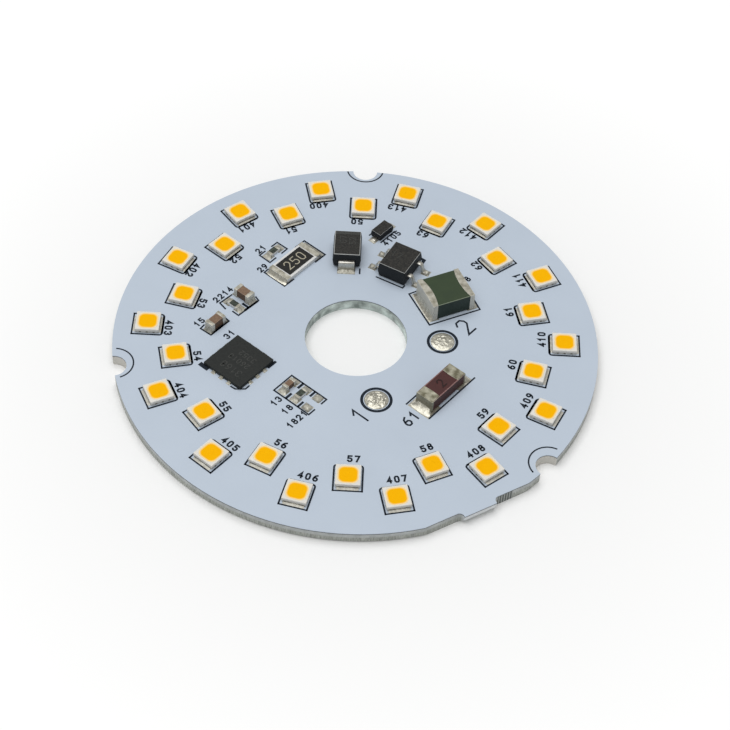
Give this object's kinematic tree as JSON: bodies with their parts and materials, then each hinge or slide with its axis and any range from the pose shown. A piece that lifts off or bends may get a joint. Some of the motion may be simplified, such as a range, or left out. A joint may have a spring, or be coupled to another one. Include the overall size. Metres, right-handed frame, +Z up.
{
  "type": "led module",
  "caption": "Round LED board with its mains driver parts inside two staggered rings of LED packages, a centre hole and three half-round screw notches in the rim.",
  "frame": {"origin": "underside of the board, at the axis of its centre hole", "axes": "+Z up out of the component side; +Y from the centre hole through the first screw notch"},
  "size_m": [0.06, 0.06, 0.0041],
  "materials": {
    "board_metal": "rolled sheet with a sheared edge",
    "board_dielectric": "filled epoxy",
    "copper": null,
    "white_mask": "satin solder mask",
    "led_housing": "satin moulding",
    "phosphor": "cast silicone with phosphor",
    "tinned_metal": "tin plate",
    "end_metal": "dull tin plate",
    "black_mould": "moulded epoxy",
    "olive_ceramic": "coated ceramic",
    "maroon_ceramic": "coated ceramic",
    "brown_ceramic": "sintered ceramic",
    "white_ceramic": "sintered ceramic",
    "black_glaze": "printed overcoat",
    "solder": "bright solder"
  },
  "bodies": {
    "root": {"aluminium_base": "board_metal", "dielectric_layer": "board_dielectric", "copper_pads": "copper", "solder_mask": "white_mask", "led_housing_01": "led_housing", "led_housing_02": "led_housing", "led_housing_03": "led_housing", "led_housing_04": "led_housing", "led_housing_05": "led_housing", "led_housing_06": "led_housing", "led_housing_07": "led_housing", "led_housing_08": "led_housing", "led_housing_09": "led_housing", "led_housing_10": "led_housing", "led_housing_11": "led_housing", "led_housing_12": "led_housing", "led_housing_13": "led_housing", "led_housing_14": "led_housing", "led_housing_15": "led_housing", "led_housing_16": "led_housing", "led_housing_17": "led_housing", "led_housing_18": "led_housing", "led_housing_19": "led_housing", "led_housing_20": "led_housing", "led_housing_21": "led_housing", "led_housing_22": "led_housing", "led_housing_23": "led_housing", "led_housing_24": "led_housing", "led_housing_25": "led_housing", "led_housing_26": "led_housing", "led_housing_27": "led_housing", "led_housing_28": "led_housing", "led_phosphor_fillings": "phosphor", "led_lead_frames": "tinned_metal", "bridge_rectifier_body": "black_mould", "bridge_rectifier_leads": "tinned_metal", "power_diode_body": "black_mould", "power_diode_leads": "tinned_metal", "small_diode_body": "black_mould", "small_diode_leads": "tinned_metal", "surge_absorber_body": "olive_ceramic", "surge_absorber_end_caps": "end_metal", "fuse_body": "maroon_ceramic", "fuse_end_caps": "end_metal", "large_resistor_substrate": "white_ceramic", "large_resistor_overcoat": "black_glaze", "large_resistor_terminals": "end_metal", "small_resistor_substrates": "white_ceramic", "small_resistor_overcoats": "black_glaze", "small_resistor_terminals": "end_metal", "lone_capacitor_body": "brown_ceramic", "lone_capacitor_end_caps": "end_metal", "pair_capacitor_body": "brown_ceramic", "pair_capacitor_end_caps": "end_metal", "small_capacitor_body": "brown_ceramic", "small_capacitor_end_caps": "end_metal", "driver_chip_body": "black_mould", "driver_chip_leads": "tinned_metal", "solder_joints": "solder", "wire_pad_tinning": "solder"}
  },
  "joints": []
}
